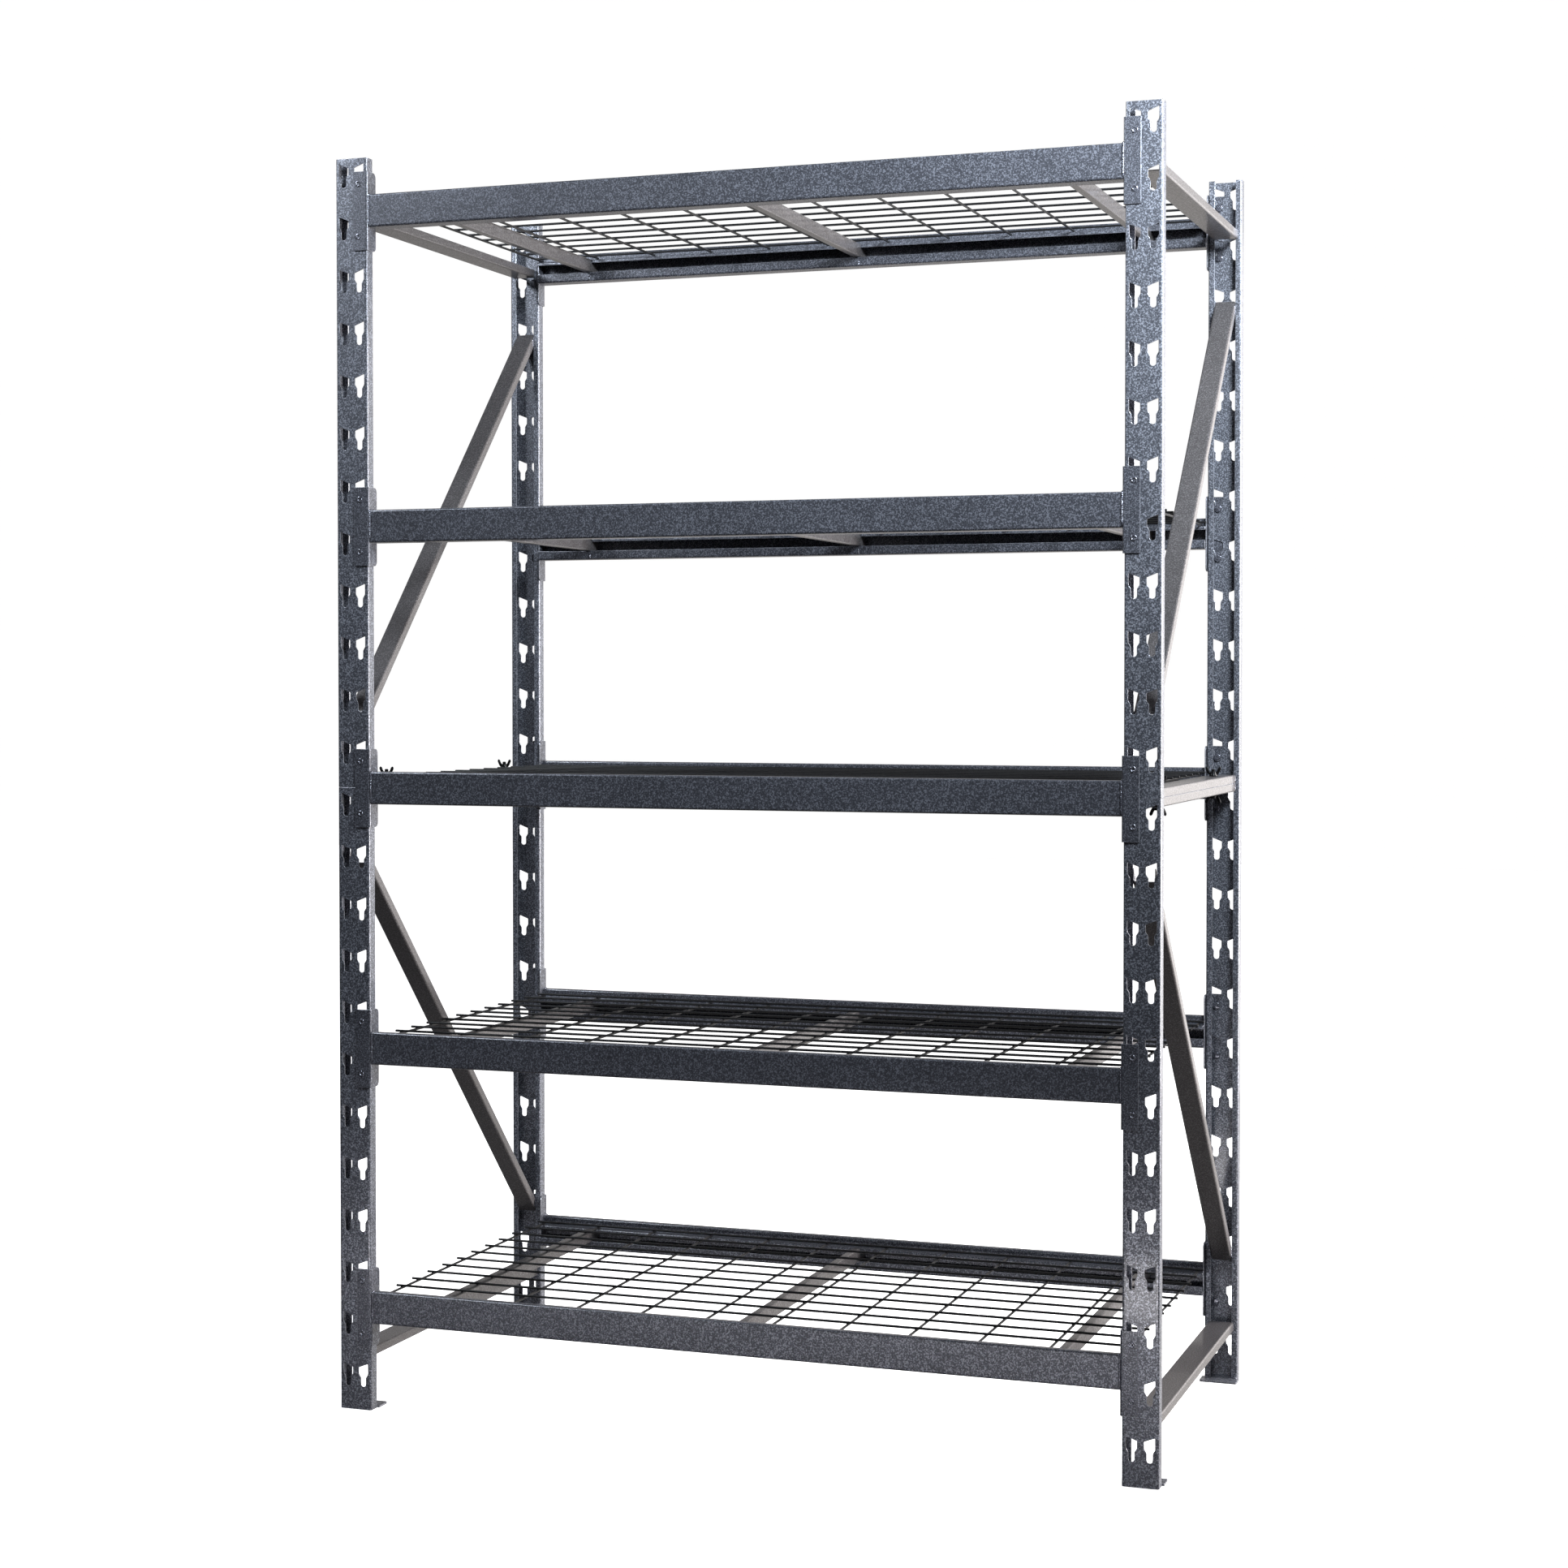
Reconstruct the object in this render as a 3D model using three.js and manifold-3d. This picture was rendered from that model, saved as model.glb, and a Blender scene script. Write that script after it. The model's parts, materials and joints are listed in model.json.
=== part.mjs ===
// Boltless steel shelving: two welded side frames, each split at mid height and
// held together by wing bolts, and five shelves that hook into the slotted posts.
// Millimetres, +Z up, the front faces -Y, origin on the floor under the middle.

import * as THREE from 'three';
import { mergeVertices } from 'three/addons/utils/BufferGeometryUtils.js';
import Module from 'manifold-3d';

const wasm = await Module();
wasm.setup();

// ---- Driving dimensions ----

const WIDTH = 1219.2; // outside of the posts, along X
const DEPTH = 609.6; // outer face of the front posts to that of the rear posts
const HEIGHT = 1828.8;
const GAP = 0.3; // clearance where two pieces touch
const SHEET = 1.5; // steel sheet of the posts, beams and braces

const SEAM_Z = HEIGHT / 2; // where the upper frame stands on the lower one

const POST = {
  width: 50.8,
  depth: 19,
  lip: 9.5,
};

const SLOT = {
  pitch: 76.2, // height from one keyhole to the next
  rows: 12, // in each half of a post
  column: 12.3, // from the middle of the post to each column of keyholes
  neck: 4.1, // half the width of the narrow lower end, and the depth of its seat
  throat: 9, // height above the seat where the neck opens out
  wide: 7.5, // half the width of the wide upper end
  shoulder: 14.5,
  innerTop: 24,
  outerTop: 29.9,
};

const FOOT = {
  width: 57,
  reach: 44.4, // from the outer face of the post towards the middle
  thickness: 3,
};

const BRACE = {
  width: 38,
  height: 12.7,
  topDrop: 76.2, // top of the post to the upper edge of the top brace
  bottomRise: 76.2, // floor to the lower edge of the bottom brace
};

// The upper diagonal. The lower one is the same, turned over about the seam.
const DIAGONAL = {
  width: POST.width - 2 * POST.lip - 2 * GAP, // its ends go in between the lips
  reach: 290, // middle of the frame to each end
  thickness: 19, // measured upright
  highEnd: 201, // top of the posts down to its lower edge, at the rear
  lowEnd: 93, // seam up to its lower edge, at the front
};

// Height of the upper rivet of each shelf, from the bottom shelf to the top one.
const SHELF_RIVET_Z = [190.5, 571.5, 952.5, 1333.5, 1790.7];

const BEAM = {
  height: 47.6,
  top: 12.7, // width of the narrow top face
  step: 12.7, // drop from the top face to the ledge that carries the deck
  depth: 30,
  upperLip: 18.5, // below the beam's top
  lowerLip: 33.5,
  rivetDrop: 15, // upper rivet to the beam's top
};

const BRACKET = {
  sheet: 2,
  above: 18, // over the upper rivet
  below: 20, // under the lower rivet
  faceWidth: 23.8,
  sideReach: 25.1, // along the side of the post
  corner: 9, // sloped corner of the side leg
};

const RIVET = {
  head: 4.5,
  headHeight: 1.2,
  shank: 3.8,
  tail: 5.7,
  tailLength: 2.5,
  sides: 6,
};

const CROSSBAR = {
  width: 12.7,
  height: 20.5,
  sheet: 1.2,
  lip: 4,
  spread: 465, // middle of the shelf to each outer crossbar
  tongueEnd: 300,
};

const DECK = {
  wire: 3.5,
  longCount: 12,
  longPitch: 50,
  longLength: 1118,
  crossCount: 12,
  crossPitch: 100,
  crossLength: 568,
};

const WING = {
  y: 203.2, // middle of the frame to each wing bolt
  shank: 3,
  shankTop: 11, // above the face that the nut sits on
  hub: 6,
  hubHeight: 7,
  earThickness: 2.4,
  sides: 10,
};

// Outline of the right ear of a wing nut, as (outward, up) points from the nut's seat.
const EAR = [
  [3.6, 1],
  [6, 1],
  [12, 12],
  [11, 15],
  [8, 14],
  [3.6, 6],
];

const OVERRUN = 1; // how far a cutter goes past the face that it opens

const PAINT = 0x565a6a;
const BLACK = 0x17171a;

// ---- Shapes ----

const AXIS = {
  x: new THREE.Vector3(1, 0, 0),
  y: new THREE.Vector3(0, 1, 0),
  z: new THREE.Vector3(0, 0, 1),
};

// A box between two corners, given as [low, high] along each axis.
function box([x0, x1], [y0, y1], [z0, z1]) {
  const geometry = new THREE.BoxGeometry(x1 - x0, y1 - y0, z1 - z0);
  return geometry.translate((x0 + x1) / 2, (y0 + y1) / 2, (z0 + z1) / 2);
}

function extrude(outline, length) {
  const shape = new THREE.Shape(outline.map(([u, v]) => new THREE.Vector2(u, v)));
  return new THREE.ExtrudeGeometry(shape, { depth: length, bevelEnabled: false });
}

// An outline of (y, z) points pushed along X from one place to another.
function prismAlongX(outline, from, to) {
  const turn = new THREE.Matrix4().makeBasis(AXIS.y, AXIS.z, AXIS.x);
  return extrude(outline, to - from).applyMatrix4(turn).translate(from, 0, 0);
}

// An outline of (x, z) points pushed along Y.
function prismAlongY(outline, from, to) {
  const turn = new THREE.Matrix4().makeBasis(AXIS.x, AXIS.z, AXIS.y.clone().negate());
  return extrude(outline, to - from).applyMatrix4(turn).translate(0, to, 0);
}

// An outline of (x, y) points pushed along Z.
function prismAlongZ(outline, from, to) {
  return extrude(outline, to - from).translate(0, 0, from);
}

function rodAlongY(radius, from, to, sides) {
  const geometry = new THREE.CylinderGeometry(radius, radius, to - from, sides);
  return geometry.translate(0, (from + to) / 2, 0);
}

function rodAlongZ(radius, from, to, sides) {
  return rodAlongY(radius, from, to, sides).rotateX(Math.PI / 2);
}

// The same shape on the other side of the x = 0 plane. The first and last corners of
// each triangle change places, which keeps the faces out.
function mirrored(geometry) {
  const copy = geometry.index ? geometry.toNonIndexed() : geometry.clone();
  copy.scale(-1, 1, 1);
  const { position } = copy.attributes;
  const first = new THREE.Vector3();
  const last = new THREE.Vector3();
  for (let i = 0; i < position.count; i += 3) {
    first.fromBufferAttribute(position, i);
    last.fromBufferAttribute(position, i + 2);
    position.setXYZ(i, last.x, last.y, last.z);
    position.setXYZ(i + 2, first.x, first.y, first.z);
  }
  return copy;
}

// ---- Joining and cutting ----

function solid(geometry) {
  geometry.deleteAttribute('normal');
  geometry.deleteAttribute('uv');
  const merged = mergeVertices(geometry);
  return new wasm.Manifold(new wasm.Mesh({
    numProp: 3,
    vertProperties: new Float32Array(merged.attributes.position.array),
    triVerts: new Uint32Array(merged.index.array),
  }));
}

function join(...geometries) {
  return geometries.map(solid).reduce((whole, piece) => whole.add(piece));
}

function cut(whole, ...geometries) {
  return geometries.map(solid).reduce((rest, piece) => rest.subtract(piece), whole);
}

function toGeometry(manifold) {
  const mesh = manifold.getMesh();
  const geometry = new THREE.BufferGeometry();
  geometry.setAttribute('position', new THREE.BufferAttribute(mesh.vertProperties, 3));
  geometry.setIndex(new THREE.BufferAttribute(mesh.triVerts, 1));
  geometry.computeVertexNormals();
  return geometry;
}

// ---- Materials ----

function paintedSteel() {
  return new THREE.MeshStandardMaterial({ color: PAINT, roughness: 0.45, metalness: 0.35 });
}

function blackWire() {
  return new THREE.MeshStandardMaterial({ color: BLACK, roughness: 0.35, metalness: 0.3 });
}

function blackZinc() {
  return new THREE.MeshStandardMaterial({ color: BLACK, roughness: 0.4, metalness: 0.6 });
}

// ---- Posts ----

// A keyhole around its seat, where the rivet's shank comes to rest. The wide end is
// higher on the side away from the middle of the post.
function keyhole(outward) {
  const { neck, throat, wide, shoulder, innerTop, outerTop } = SLOT;
  return [
    [-neck, -neck],
    [neck, -neck],
    [neck, throat],
    [wide, shoulder],
    [wide, outward > 0 ? outerTop : innerTop],
    [-wide, outward > 0 ? innerTop : outerTop],
    [-wide, shoulder],
    [-neck, throat],
  ];
}

// Half a post, its outer face on y = 0 and the open side towards +Y. Its lips are
// turned towards each other.
function halfPost(from, to) {
  const half = POST.width / 2;
  const inside = half - SHEET;
  const lipEnd = half - POST.lip;
  const lipStart = POST.depth - SHEET;
  const channel = prismAlongZ([
    [-half, 0],
    [half, 0],
    [half, POST.depth],
    [lipEnd, POST.depth],
    [lipEnd, lipStart],
    [inside, lipStart],
    [inside, SHEET],
    [-inside, SHEET],
    [-inside, lipStart],
    [-lipEnd, lipStart],
    [-lipEnd, POST.depth],
    [-half, POST.depth],
  ], from, to);

  const holes = [];
  for (let row = 0; row < SLOT.rows; row += 1) {
    for (const outward of [-1, 1]) {
      const hole = prismAlongY(keyhole(outward), -SHEET, 2 * SHEET);
      hole.translate(outward * SLOT.column, 0, SLOT.pitch * (row + 0.5));
      holes.push(hole);
    }
  }
  return cut(solid(channel), ...holes);
}

// The foot plate is as wide as the post under it, and wider beyond its lips.
function lowerPost() {
  const height = [0, FOOT.thickness];
  const under = box([-POST.width / 2, POST.width / 2], [0, POST.depth], height);
  const beyond = box([-FOOT.width / 2, FOOT.width / 2], [POST.depth, FOOT.reach], height);
  return halfPost(0, SEAM_Z - GAP / 2).add(join(under, beyond));
}

function upperPost() {
  return halfPost(GAP / 2, HEIGHT - SEAM_Z);
}

// ---- Braces of the side frames ----

const BRACE_END = DEPTH / 2 - POST.depth - GAP;
const POST_X = (WIDTH - POST.width) / 2;

// A level channel along Y, its closed face at z = 0 and its sides going to z = height.
// A negative height turns the closed face up. Holes pass the wing bolts.
function levelBrace(height, holes) {
  const half = BRACE.width / 2;
  const inside = half - SHEET;
  const web = Math.sign(height) * SHEET;
  const channel = prismAlongY([
    [-half, 0],
    [half, 0],
    [half, height],
    [inside, height],
    [inside, web],
    [-inside, web],
    [-inside, height],
    [-half, height],
  ], -BRACE_END, BRACE_END);
  const bores = holes.map((y) => {
    return rodAlongZ(WING.shank + GAP, -2 * SHEET, 2 * SHEET, WING.sides).translate(0, y, 0);
  });
  return cut(solid(channel), ...bores);
}

// A channel that climbs from the front posts to the rear ones, its closed face up.
// Its ends are cut upright, between the lips of the posts.
function diagonalBrace(frontZ, rearZ) {
  const { width, reach, thickness } = DIAGONAL;
  const slant = Math.atan2(rearZ - frontZ, 2 * reach);
  const skin = SHEET / Math.cos(slant);
  const half = width / 2;
  const strip = (bottom) => [
    [-reach, frontZ],
    [reach, rearZ],
    [reach, rearZ + bottom],
    [-reach, frontZ + bottom],
  ];
  return join(
    prismAlongX(strip(-skin), -half, half),
    prismAlongX(strip(-thickness), -half, SHEET - half),
    prismAlongX(strip(-thickness), half - SHEET, half),
  );
}

// ---- Wing nuts and wing bolts ----

// Two ears that lean outwards from the hub, rising from z = 0.
function ears() {
  const half = WING.earThickness / 2;
  return [-1, 1].map((side) => {
    return prismAlongY(EAR.map(([outward, up]) => [side * outward, up]), -half, half);
  });
}

function wingNut() {
  const { hub, hubHeight, shank, sides } = WING;
  const body = join(rodAlongZ(hub, 0, hubHeight, sides), ...ears());
  return cut(body, rodAlongZ(shank + GAP, -OVERRUN, hubHeight + OVERRUN, sides));
}

// The wings point down from the head, and the shank stands on it.
function wingBolt(shankLength) {
  const { hub, hubHeight, shank, sides } = WING;
  const turned = ears().map((ear) => ear.rotateX(Math.PI));
  return join(
    rodAlongZ(hub, -hubHeight, 0, sides),
    rodAlongZ(shank, -hubHeight / 2, shankLength, sides),
    ...turned,
  );
}

// ---- Shelves ----

// The beam's bent sheet, as (inward, z) points, its top at z = 0.
function beamProfile() {
  const { height, top, step, depth, upperLip, lowerLip } = BEAM;
  const lip = depth - SHEET;
  return [
    [0, 0],
    [top, 0],
    [top, -step],
    [depth, -step],
    [depth, -upperLip],
    [lip, -upperLip],
    [lip, -step - SHEET],
    [top - SHEET, -step - SHEET],
    [top - SHEET, -SHEET],
    [SHEET, -SHEET],
    [SHEET, SHEET - height],
    [lip, SHEET - height],
    [lip, -lowerLip],
    [depth, -lowerLip],
    [depth, -height],
    [0, -height],
  ];
}

// The bracket at the right end of a front beam: one leg over the post's face, one leg
// along the post's side, and two rivets that hook into the keyholes.
function bracket() {
  const upper = BEAM.rivetDrop;
  const lower = upper - SLOT.pitch;
  const top = upper + BRACKET.above;
  const bottom = lower - BRACKET.below;
  const outside = -GAP - BRACKET.sheet;
  const inner = WIDTH / 2 - POST.width - GAP - BRACKET.sheet;
  const sideEnd = outside + BRACKET.sideReach;
  const rivetX = POST_X - SLOT.column;

  const face = box([inner, inner + BRACKET.faceWidth], [outside, -GAP], [bottom, top]);
  const side = prismAlongX([
    [outside, bottom],
    [sideEnd - BRACKET.corner, bottom],
    [sideEnd, bottom + BRACKET.corner],
    [sideEnd, top - BRACKET.corner],
    [sideEnd - BRACKET.corner, top],
    [outside, top],
  ], inner, inner + BRACKET.sheet);

  const web = SHEET + GAP;
  const rivets = [upper, lower].flatMap((z) => [
    rodAlongY(RIVET.head, outside - RIVET.headHeight, -GAP - SHEET / 2, RIVET.sides),
    rodAlongY(RIVET.shank, outside, web + RIVET.tailLength / 2, RIVET.sides),
    rodAlongY(RIVET.tail, web, web + RIVET.tailLength, RIVET.sides),
  ].map((rod) => rod.translate(rivetX, 0, z)));
  return [face, side, ...rivets];
}

function beam() {
  const end = WIDTH / 2 - POST.width - GAP - BRACKET.sheet / 2;
  const left = bracket().map(mirrored);
  return join(prismAlongX(beamProfile(), -end, end), ...bracket(), ...left);
}

// A lipped channel along Y, open towards -X, its top at z = 0. Beyond the ledges of
// the beams only a tongue is left, which goes in under the ledge.
function crossbar() {
  const { width, height, sheet, lip, tongueEnd } = CROSSBAR;
  const half = width / 2;
  const body = prismAlongY([
    [-half, 0],
    [half, 0],
    [half, -height],
    [-half, -height],
    [-half, lip - height],
    [sheet - half, lip - height],
    [sheet - half, sheet - height],
    [half - sheet, sheet - height],
    [half - sheet, -sheet],
    [sheet - half, -sheet],
    [sheet - half, -lip],
    [-half, -lip],
  ], -tongueEnd, tongueEnd);
  const shoulderY = DEPTH / 2 - BEAM.depth - GAP;
  const shoulderZ = BEAM.step - BEAM.upperLip - GAP;
  const end = tongueEnd + OVERRUN;
  const notches = [[-end, -shoulderY], [shoulderY, end]].map((span) => {
    return box([-width, width], span, [shoulderZ, OVERRUN]);
  });
  return cut(solid(body), ...notches);
}

function spread(count, pitch) {
  return Array.from({ length: count }, (_, i) => (i - (count - 1) / 2) * pitch);
}

// The welded deck: wires along the shelf lie on the wires across it, which rest on
// the ledges. The underside of the cross wires is at z = 0.
function wireDeck() {
  const half = DECK.wire / 2;
  const crossWires = spread(DECK.crossCount, DECK.crossPitch).map((x) => box(
    [x - half, x + half],
    [-DECK.crossLength / 2, DECK.crossLength / 2],
    [0, DECK.wire],
  ));
  const longWires = spread(DECK.longCount, DECK.longPitch).map((y) => box(
    [-DECK.longLength / 2, DECK.longLength / 2],
    [y - half, y + half],
    [DECK.wire, 2 * DECK.wire],
  ));
  return join(...crossWires, ...longWires);
}

// ---- Assembly ----

const shelving = new THREE.Group();

const SIDES = [['left', -1], ['right', 1]];
const ENDS = [['front', -1], ['rear', 1]];

function place(name, geometry, material, x, y, z, turn = 0) {
  const mesh = new THREE.Mesh(geometry, material);
  mesh.name = name;
  mesh.position.set(x, y, z);
  mesh.rotation.z = turn;
  shelving.add(mesh);
}

function addPosts() {
  const lower = toGeometry(lowerPost());
  const upper = toGeometry(upperPost());
  for (const [end, toRear] of ENDS) {
    for (const [side, toRight] of SIDES) {
      const x = toRight * POST_X;
      const y = toRear * DEPTH / 2;
      const turn = toRear > 0 ? Math.PI : 0;
      place(`lower_post_${end}_${side}`, lower, paintedSteel(), x, y, 0, turn);
      place(`upper_post_${end}_${side}`, upper, paintedSteel(), x, y, SEAM_Z, turn);
    }
  }
}

// Closed faces of the level braces, and which way their sides go from there.
const BRACES = [
  { name: 'top_brace', z: HEIGHT - BRACE.topDrop - BRACE.height, sides: 1, bolted: false },
  { name: 'upper_middle_brace', z: SEAM_Z + GAP / 2 + BRACE.height, sides: -1, bolted: true },
  { name: 'lower_middle_brace', z: SEAM_Z - GAP / 2 - BRACE.height, sides: 1, bolted: true },
  { name: 'bottom_brace', z: BRACE.bottomRise + BRACE.height, sides: -1, bolted: false },
];

function addBraces() {
  for (const { name, z, sides, bolted } of BRACES) {
    const holes = bolted ? [-WING.y, WING.y] : [];
    const geometry = toGeometry(levelBrace(sides * BRACE.height, holes));
    for (const [side, toRight] of SIDES) {
      place(`${name}_${side}`, geometry, paintedSteel(), toRight * POST_X, 0, z);
    }
  }
}

// The lower diagonal is the upper one turned over about the seam.
function addDiagonals() {
  const { lowEnd, highEnd, thickness } = DIAGONAL;
  const low = lowEnd + thickness;
  const high = HEIGHT - SEAM_Z - highEnd + thickness;
  const upper = toGeometry(diagonalBrace(low, high));
  const lower = upper.clone().rotateY(Math.PI);
  for (const [side, toRight] of SIDES) {
    const x = toRight * POST_X;
    place(`upper_diagonal_${side}`, upper, paintedSteel(), x, 0, SEAM_Z);
    place(`lower_diagonal_${side}`, lower, paintedSteel(), x, 0, SEAM_Z);
  }
}

function addWingFasteners() {
  const stack = 2 * BRACE.height + GAP;
  const seat = stack / 2 + GAP;
  const nut = toGeometry(wingNut());
  const bolt = toGeometry(wingBolt(stack + GAP + WING.shankTop));
  for (const [end, toRear] of ENDS) {
    for (const [side, toRight] of SIDES) {
      const x = toRight * POST_X;
      const y = toRear * WING.y;
      place(`wing_nut_${end}_${side}`, nut, blackZinc(), x, y, SEAM_Z + seat);
      place(`wing_bolt_${end}_${side}`, bolt, blackZinc(), x, y, SEAM_Z - seat);
    }
  }
}

function addShelves() {
  const beamGeometry = toGeometry(beam());
  const crossbarGeometry = toGeometry(crossbar());
  const deckGeometry = toGeometry(wireDeck());
  const crossbars = [['left', -CROSSBAR.spread], ['centre', 0], ['right', CROSSBAR.spread]];
  SHELF_RIVET_Z.forEach((rivetZ, index) => {
    const shelf = `shelf_${index + 1}`;
    const top = rivetZ - BEAM.rivetDrop;
    for (const [end, toRear] of ENDS) {
      const turn = toRear > 0 ? Math.PI : 0;
      place(`${shelf}_${end}_beam`, beamGeometry, paintedSteel(), 0, toRear * DEPTH / 2, top, turn);
    }
    for (const [side, x] of crossbars) {
      place(`${shelf}_crossbar_${side}`, crossbarGeometry, paintedSteel(), x, 0, top - BEAM.step);
    }
    place(`${shelf}_wire_deck`, deckGeometry, blackWire(), 0, 0, top - BEAM.step + GAP);
  });
}

addPosts();
addBraces();
addDiagonals();
addWingFasteners();
addShelves();

export default shelving;
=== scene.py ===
import json
import math
import random

import bmesh
import bpy
from mathutils import Matrix, Vector


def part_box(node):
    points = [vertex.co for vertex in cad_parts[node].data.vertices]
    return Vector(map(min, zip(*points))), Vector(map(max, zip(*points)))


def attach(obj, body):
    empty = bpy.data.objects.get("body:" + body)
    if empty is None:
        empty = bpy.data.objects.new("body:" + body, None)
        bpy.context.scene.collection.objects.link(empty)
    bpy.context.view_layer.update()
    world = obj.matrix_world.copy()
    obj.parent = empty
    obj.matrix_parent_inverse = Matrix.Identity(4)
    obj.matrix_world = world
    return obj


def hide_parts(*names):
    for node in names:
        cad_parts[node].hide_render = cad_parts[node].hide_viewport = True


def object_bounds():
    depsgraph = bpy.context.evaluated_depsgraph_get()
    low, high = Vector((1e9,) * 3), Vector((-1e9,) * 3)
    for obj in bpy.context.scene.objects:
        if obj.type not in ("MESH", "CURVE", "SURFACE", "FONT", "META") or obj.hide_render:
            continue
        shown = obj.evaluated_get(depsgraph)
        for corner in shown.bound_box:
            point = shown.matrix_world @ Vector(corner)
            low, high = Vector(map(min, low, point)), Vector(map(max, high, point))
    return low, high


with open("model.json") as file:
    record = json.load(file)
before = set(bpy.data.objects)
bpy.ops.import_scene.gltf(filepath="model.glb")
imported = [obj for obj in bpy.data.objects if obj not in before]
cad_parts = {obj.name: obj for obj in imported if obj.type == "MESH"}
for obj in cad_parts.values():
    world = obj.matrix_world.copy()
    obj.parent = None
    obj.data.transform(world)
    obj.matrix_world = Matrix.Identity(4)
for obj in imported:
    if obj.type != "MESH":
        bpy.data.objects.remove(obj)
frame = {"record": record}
cad_low, cad_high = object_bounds()

# Boltless steel shelving. Every CAD node gets a piece of its own, built as bent
# sheet, round wire, rivets and weld beads. Lengths are in metres.

MM = 0.001

# ---- Sizes ----

SHEET = 1.5 * MM
BEND = 2.3 * MM  # radius at the middle of the sheet

POST_WIDTH = 50.8 * MM
POST_DEPTH = 19 * MM
POST_LIP = 9.5 * MM
FOOT_HEIGHT = 3 * MM

SLOT_ROWS = 12
SLOT_PITCH = 76.2 * MM
SLOT_COLUMN = 12.3 * MM

BRACE_WIDTH = 38 * MM
BRACE_HEIGHT = 12.7 * MM
DIAGONAL_DROP = 19 * MM  # upright height of a diagonal brace
WING_BOLT_Y = 203.2 * MM
BOLT_HOLE = 3.3 * MM  # radius
WING_HEAD = 15 * MM  # height of a wing bolt's head

BEAM_HEIGHT = 47.6 * MM
BEAM_DEPTH = 30 * MM
BEAM_TOP = 12.7 * MM  # depth of its top face
BEAM_STEP = 12.7 * MM  # from the top face down to the ledge
BEAM_SLOT = (18.5 * MM, 33.5 * MM)  # from the top down to the slot's edges
RIVET_DROP = 15 * MM  # upper rivet to the beam's top
BRACKET_SHEET = 2 * MM
BRACKET_ABOVE = 18 * MM  # over the upper rivet
BRACKET_BELOW = 20 * MM  # under the lower rivet
BRACKET_FACE = 23.8 * MM
BRACKET_SIDE = 25.1 * MM
POST_GAP = 0.3 * MM
LIP_MARK_OFFSET = 3 * MM  # from the middle of the crossbar

CROSSBAR_SHEET = 1.2 * MM
CROSSBAR_WIDTH = 12.7 * MM
CROSSBAR_HEIGHT = 20.5 * MM
CROSSBAR_LIP = 4 * MM
TONGUE = 25.5 * MM  # length of the reduced end
TONGUE_DROP = 6.1 * MM  # top of the crossbar to the top of its tongue

BEAD_STEP = 0.55 * MM  # between the ripples' points

WIRE = 1.75 * MM  # radius
LONG_WIRES, LONG_PITCH = 12, 50 * MM
CROSS_WIRES, CROSS_PITCH = 12, 100 * MM

BODY_OF = {
    name: body
    for body, names in frame["record"]["behaviour"]["bodies"].items()
    for name in names
}


# ---- Outlines ----

def rounded(points, radius, steps=4, closed=False):
    """The outline with its corners turned into arcs. radius is one number, or one for
    each point."""
    points = [Vector(p) for p in points]
    radii = radius if isinstance(radius, (list, tuple)) else [radius] * len(points)
    last = len(points) - 1
    out = []
    for i, corner in enumerate(points):
        if radii[i] == 0 or (not closed and i in (0, last)):
            out.append(corner)
            continue
        back = (points[i - 1] - corner).normalized()
        ahead = (points[(i + 1) % len(points)] - corner).normalized()
        half = back.angle(ahead) / 2
        centre = corner + (back + ahead).normalized() * radii[i] / math.sin(half)
        start = corner + back * radii[i] / math.tan(half) - centre
        turn = math.copysign(math.pi - 2 * half, back.cross(ahead))
        for k in range(steps + 1):
            out.append(centre + Matrix.Rotation(-turn * k / steps, 2) @ start)
    return out


def keyhole(outward):
    """A keyhole around the rivet's seat. Its wide end is higher on the outward side."""
    neck, throat, wide, shoulder = 4.1, 9.0, 7.5, 14.5
    left, right = (29.9, 24.0) if outward < 0 else (24.0, 29.9)
    corners = [
        (-neck, -neck), (neck, -neck), (neck, throat), (wide, shoulder),
        (wide, right), (-wide, left), (-wide, shoulder), (-neck, throat),
    ]
    radii = [4.0, 4.0, 3.0, 2.0, 0.9, 0.9, 2.0, 3.0]
    corners = [Vector(c) * MM for c in corners]
    return rounded(corners, [r * MM for r in radii], steps=4, closed=True)


def circle(radius, sides=24):
    return [
        Vector((math.cos(math.tau * k / sides), math.sin(math.tau * k / sides))) * radius
        for k in range(sides)
    ]


# ---- Sheet metal ----

def add_sheet(bm, profile, stations, place, keep=lambda row, column: True):
    """A sheet with the profile across and the stations along. place turns a profile
    point and a station into a point in space, and keep says which cells are there."""
    grid = [[bm.verts.new(place(p, s)) for p in profile] for s in stations]
    for row in range(len(stations) - 1):
        for column in range(len(profile) - 1):
            if keep(row, column):
                bm.faces.new((
                    grid[row][column], grid[row][column + 1],
                    grid[row + 1][column + 1], grid[row + 1][column],
                ))
    return grid


def widest(profile):
    """The index of the profile's longest straight, which is the channel's web."""
    return max(range(len(profile) - 1), key=lambda i: (profile[i + 1] - profile[i]).length)


def edge_between(bm, a, b):
    return bm.edges.get((a, b)) or bm.edges.new((a, b))


def fill_web(bm, grid, column, holes):
    """The web between two columns of the grid, with the holes left open."""
    near, far = grid[0], grid[-1]
    edges = [
        edge_between(bm, near[column], far[column]),
        edge_between(bm, near[column + 1], far[column + 1]),
        edge_between(bm, near[column], near[column + 1]),
        edge_between(bm, far[column], far[column + 1]),
    ]
    for hole in holes:
        ring = [bm.verts.new(p) for p in hole]
        edges += [edge_between(bm, a, b) for a, b in zip(ring, ring[1:] + ring[:1])]
    bmesh.ops.triangle_fill(bm, use_beauty=True, use_dissolve=False, edges=edges)


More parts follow.
